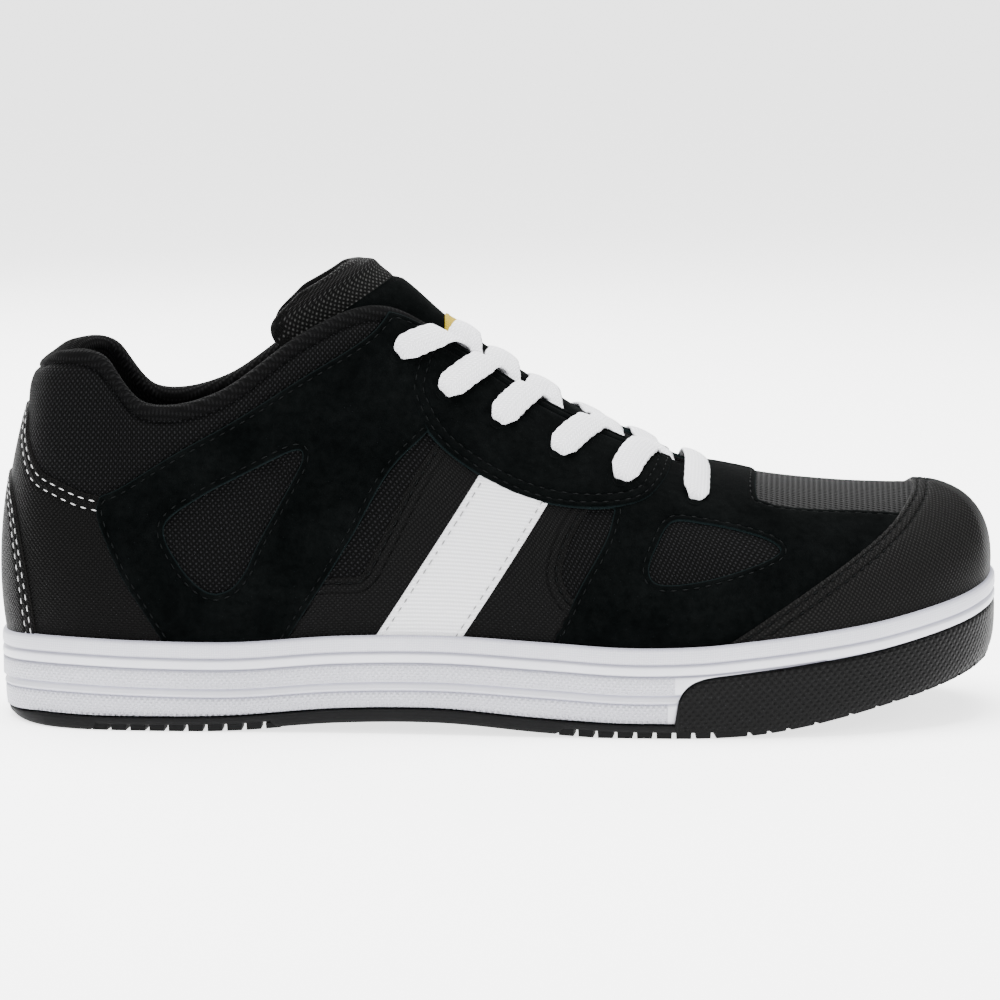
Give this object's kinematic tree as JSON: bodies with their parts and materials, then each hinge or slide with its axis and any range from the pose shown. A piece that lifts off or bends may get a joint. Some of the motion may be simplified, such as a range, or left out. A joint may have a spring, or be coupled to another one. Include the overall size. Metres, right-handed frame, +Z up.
{
  "type": "safety sneaker",
  "caption": "Low lace-up safety sneaker with a padded collar, a domed toe cap, sewn overlays, a white cupsole and a wrapped black rubber outsole.",
  "frame": {"origin": "bottom centre of the bounding box, on the floor under the sole", "axes": "+X towards the toe, +Y towards the inner side of the foot, +Z up"},
  "size_m": [0.3036, 0.108, 0.1377],
  "materials": {
    "black_rubber": "matt black rubber, knurled on the bumper",
    "white_rubber": "satin off-white rubber",
    "woven_fabric": "coarse black woven fabric",
    "suede": "black suede with raw cut edges",
    "embossed_panel": "charcoal coated leather with a fine embossed grain",
    "white_tape": "white ribbed woven tape",
    "lace_cotton": "white flat woven lace",
    "insole_cloth": "dark grey cloth over foam",
    "yellow_label": "plain yellow woven label"
  },
  "bodies": {
    "root": {"outsole": "black_rubber", "midsole": "white_rubber", "insole": "insole_cloth", "upper": "woven_fabric", "toe_cap": "embossed_panel", "vamp_overlay": "suede", "heel_stay": "embossed_panel", "heel_counter": "embossed_panel", "eyestay_lateral": "suede", "eyestay_medial": "suede", "quarter_overlay_lateral": "suede", "quarter_overlay_medial": "suede", "side_panel_lateral": "embossed_panel", "side_panel_medial": "embossed_panel", "side_tape_lateral": "white_tape", "side_tape_medial": "white_tape", "tongue": "woven_fabric", "tongue_label": "yellow_label", "lace_crossing_1": "lace_cotton", "lace_crossing_2": "lace_cotton", "lace_crossing_3": "lace_cotton", "lace_crossing_4": "lace_cotton", "lace_crossing_5": "lace_cotton", "lace_front_bar": "lace_cotton"}
  },
  "joints": []
}
